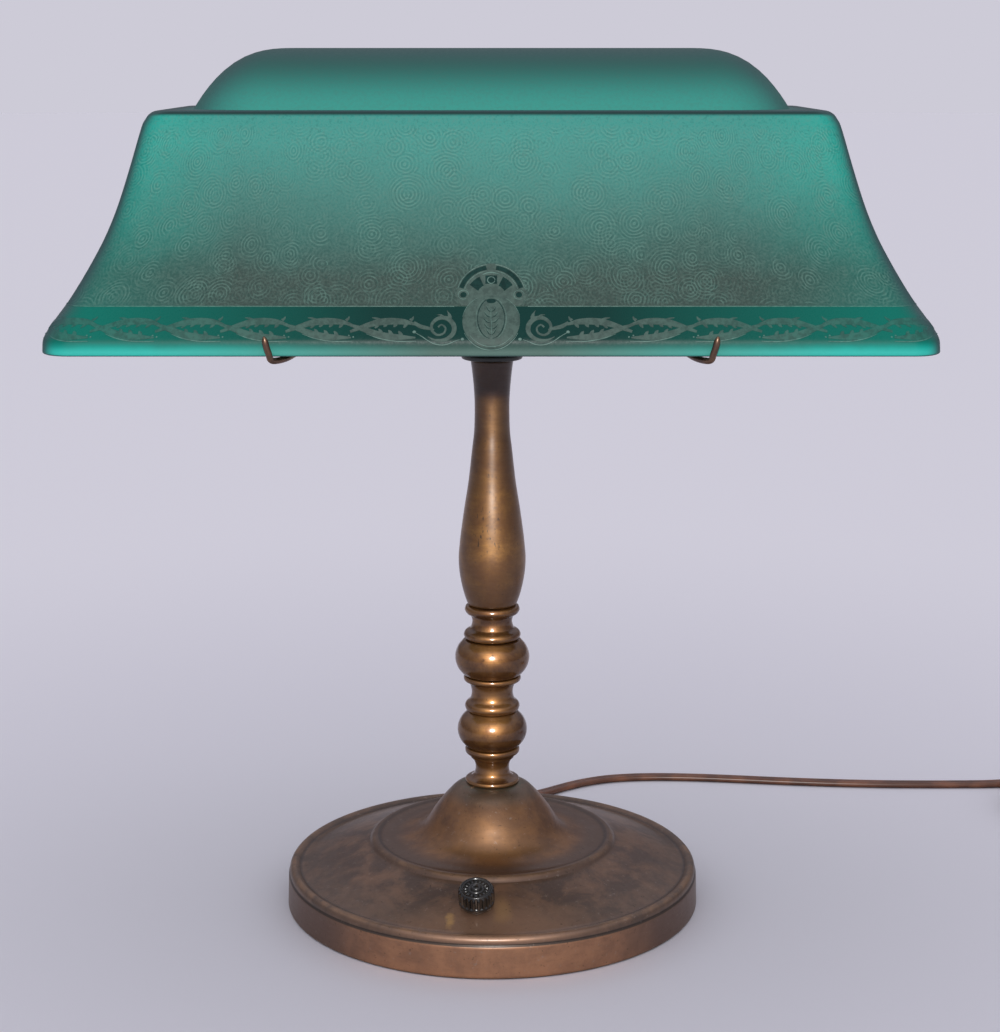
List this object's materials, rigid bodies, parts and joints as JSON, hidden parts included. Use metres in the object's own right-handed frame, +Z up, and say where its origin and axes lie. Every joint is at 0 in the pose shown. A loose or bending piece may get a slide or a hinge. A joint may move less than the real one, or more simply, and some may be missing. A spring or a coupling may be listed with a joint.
{
  "type": "banker desk lamp",
  "caption": "Desk lamp with a long green glass shade that tilts on a turned brass column, a round weighted base and a rotary knob switch.",
  "frame": {"origin": "on the axis of the column, on the surface that the lamp stands on", "axes": "+Z up, +X along the shade, -Y towards the user and the switch knob"},
  "size_m": [0.4878, 0.2385, 0.3499],
  "materials": {
    "brass": "aged turned brass, satin, dark bronze patina",
    "spun_brass": "aged spun brass, satin, brown patina",
    "dark_brass": "blackened brass",
    "steel": "plain steel",
    "iron": "raw grey cast iron",
    "felt": "green wool felt",
    "bakelite": "glossy black phenolic moulding",
    "porcelain": "glazed white ceramic",
    "fibre": "brown vulcanised fibre",
    "bulb_glass": "frosted white glass",
    "green_glass": "cased green glass, satin etched outside",
    "cord_rubber": "translucent brown flat twin cord"
  },
  "bodies": {
    "lamp": {"base_felt": "felt", "base_shell": "spun_brass", "base_weight": "iron", "center_pipe": "steel", "check_ring": "dark_brass", "cord_bushing": "cord_rubber", "cord_coil": "cord_rubber", "cord_tie": "fibre", "head_finial": "brass", "head_hub": "brass", "left_bulb_base": "brass", "left_bulb_glass": "bulb_glass", "left_nipple": "steel", "left_screw_shell": "brass", "left_socket_cap": "brass", "left_socket_core": "porcelain", "left_socket_lead": "cord_rubber", "left_socket_liner": "fibre", "left_socket_shell": "brass", "lower_bead": "brass", "middle_neck": "brass", "pipe_nut": "steel", "pipe_washer": "steel", "plug_blade_left": "steel", "plug_blade_right": "steel", "plug_body": "bakelite", "plug_tail": "cord_rubber", "power_cord": "cord_rubber", "right_bulb_base": "brass", "right_bulb_glass": "bulb_glass", "right_nipple": "steel", "right_screw_shell": "brass", "right_socket_cap": "brass", "right_socket_core": "porcelain", "right_socket_lead": "cord_rubber", "right_socket_liner": "fibre", "right_socket_shell": "brass", "riser_leads": "cord_rubber", "stem_foot": "brass", "supply_lead": "cord_rubber", "switch_base": "fibre", "switch_bushing": "brass", "switch_housing": "bakelite", "switch_lead": "cord_rubber", "switch_nut": "brass", "upper_bead": "brass", "upper_neck": "brass", "vase_column": "brass"},
    "shade_holder": {"glass_shade": "green_glass", "left_ring_screw": "brass", "left_shade_ring": "brass", "left_shade_wire": "brass", "right_ring_screw": "brass", "right_shade_ring": "brass", "right_shade_wire": "brass"},
    "switch": {"switch_knob": "bakelite", "switch_shaft": "steel", "switch_rotor": "bakelite"}
  },
  "joints": [
    {"name": "shade_tilt", "type": "hinge", "parent": "lamp", "child": "shade_holder", "pos_m": [0, 0, 0.264], "axis": [1, 0, 0], "range_deg": [-25, 25]},
    {"name": "switch_turn", "type": "hinge", "parent": "lamp", "child": "switch", "pos_m": [-0.00587, -0.06333, 0.02155], "axis": [-0.0304, -0.3275, 0.9444], "continuous": true}
  ]
}
